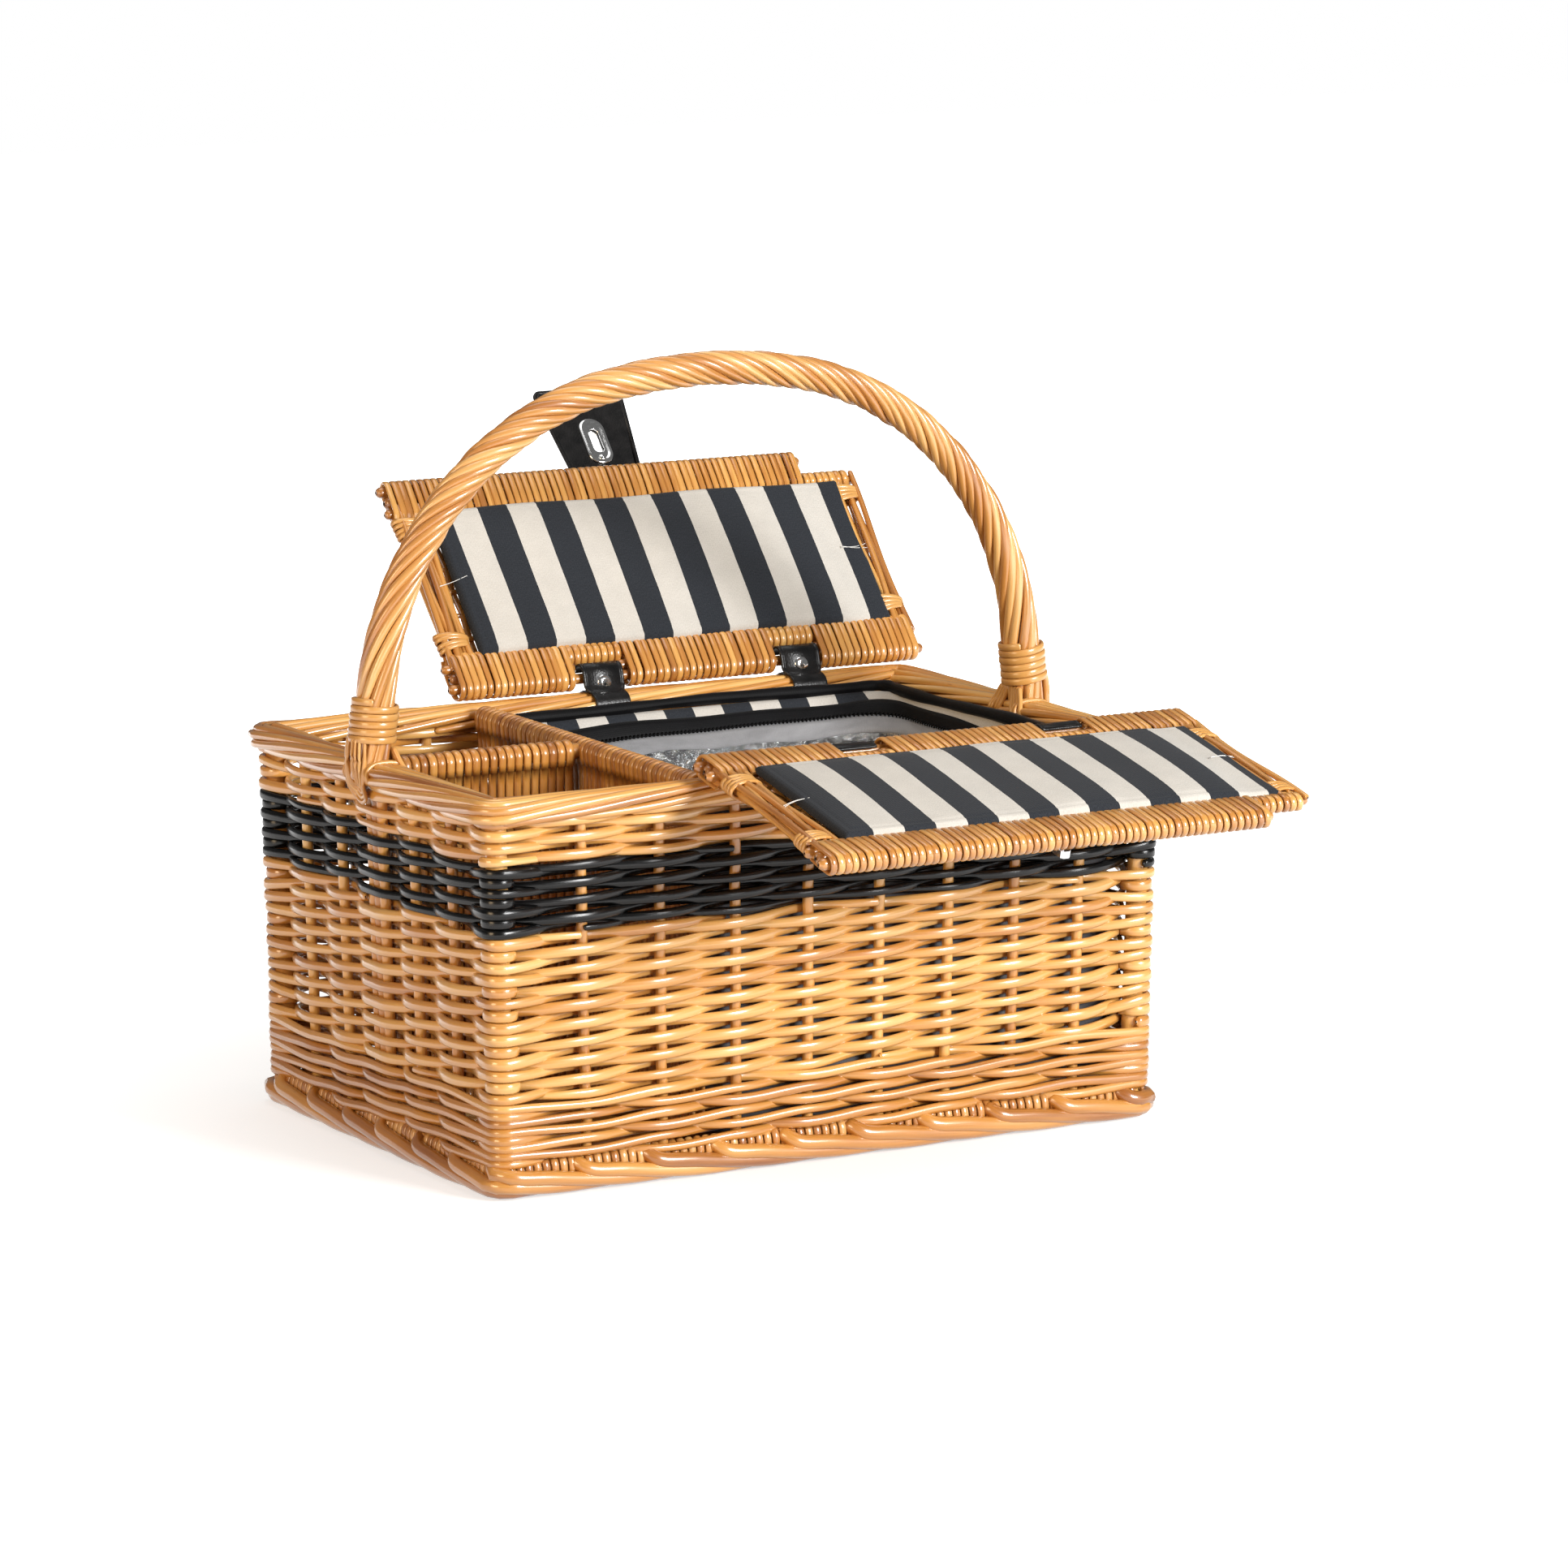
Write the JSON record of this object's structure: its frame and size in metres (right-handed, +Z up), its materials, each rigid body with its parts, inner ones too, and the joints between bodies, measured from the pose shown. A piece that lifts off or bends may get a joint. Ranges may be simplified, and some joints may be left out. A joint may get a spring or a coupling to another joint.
{
  "type": "picnic basket",
  "caption": "Woven willow picnic basket with a black woven band, arched handle, open strap-hinged lids lined in striped cloth, bottle compartments and a cooler insert.",
  "frame": {"origin": "middle of the basket's underside, on the plane it stands on", "axes": "+X along the basket's length with the bottle compartments at -X, +Y to the back, +Z up"},
  "size_m": [0.4451, 0.5706, 0.4283],
  "materials": {
    "willow": "varnished peeled willow",
    "willow_stake": "varnished willow rod",
    "black_willow": "black dyed, gloss varnish",
    "cane": "split cane, varnished",
    "striped_cloth": "plain weave, striped",
    "cooler_cloth": "padded plain weave",
    "cooler_film": "metallised film",
    "black_trim": "woven tape",
    "black_leather": "smooth semi-gloss",
    "bright_metal": "bright plated"
  },
  "bodies": {
    "basket": {"back_black_band": "black_willow", "back_hinge_straps": "black_leather", "back_lower_weave": "willow", "back_stakes": "willow_stake", "back_upper_weave": "willow", "back_wale": "willow", "base_panel": "willow", "base_sticks": "willow_stake", "cooler_collar": "cooler_cloth", "cooler_foil": "cooler_film", "cooler_piping": "black_trim", "cooler_shell": "cooler_cloth", "cooler_top_panel": "striped_cloth", "cooler_zip": "black_trim", "corner_posts": "willow_stake", "cross_divider_panel": "willow", "divider_top_rods": "willow", "foot_border": "willow", "front_black_band": "black_willow", "front_hinge_straps": "black_leather", "front_lower_weave": "willow", "front_stakes": "willow_stake", "front_upper_weave": "willow", "front_wale": "willow", "handle_bindings": "cane", "handle_bow": "willow", "handle_legs": "willow_stake", "hinge_strap_rivets": "bright_metal", "left_black_band": "black_willow", "left_lower_weave": "willow", "left_stakes": "willow_stake", "left_upper_weave": "willow", "left_wale": "willow", "main_divider_panel": "willow", "right_black_band": "black_willow", "right_lower_weave": "willow", "right_stakes": "willow_stake", "right_upper_weave": "willow", "right_wale": "willow", "rim_inner_rods": "willow", "rim_lashings": "cane", "rim_outer_rods": "willow"},
    "front_lid": {"front_lid_corner_ties": "cane", "front_lid_frame_rods": "willow", "front_lid_hinge_rod": "willow", "front_lid_lining": "striped_cloth", "front_lid_side_rods": "willow", "front_lid_weave": "willow", "lock_base": "bright_metal", "lock_pad": "black_leather"},
    "back_lid": {"back_lid_corner_ties": "cane", "back_lid_frame_rods": "willow", "back_lid_hinge_rod": "willow", "back_lid_lining": "striped_cloth", "back_lid_side_rods": "willow", "back_lid_weave": "willow", "hasp_anchor": "black_leather"},
    "hasp": {"hasp_plates": "bright_metal", "hasp_tab": "black_leather"},
    "turn_button": {"turn_button": "bright_metal"}
  },
  "joints": [
    {"name": "front_lid_hinge", "type": "hinge", "parent": "basket", "child": "front_lid", "pos_m": [0.0695, -0.144, 0.224], "axis": [-1, 0, 0], "range_deg": [0, 192.8]},
    {"name": "back_lid_hinge", "type": "hinge", "parent": "basket", "child": "back_lid", "pos_m": [0.0695, 0.144, 0.224], "axis": [1, 0, 0], "range_deg": [-61.5, 131.3]},
    {"name": "hasp_fold", "type": "hinge", "parent": "back_lid", "child": "hasp", "pos_m": [0.0695, 0.244, 0.3245], "axis": [-1, 0, 0], "range_deg": [0, 75], "stiffness_Nm_per_rad": 0.1},
    {"name": "lock_turn", "type": "hinge", "parent": "front_lid", "child": "turn_button", "pos_m": [0.0695, -0.26115, 0.19123], "axis": [0, 0.2215, -0.9751], "range_deg": [0, 90]}
  ]
}
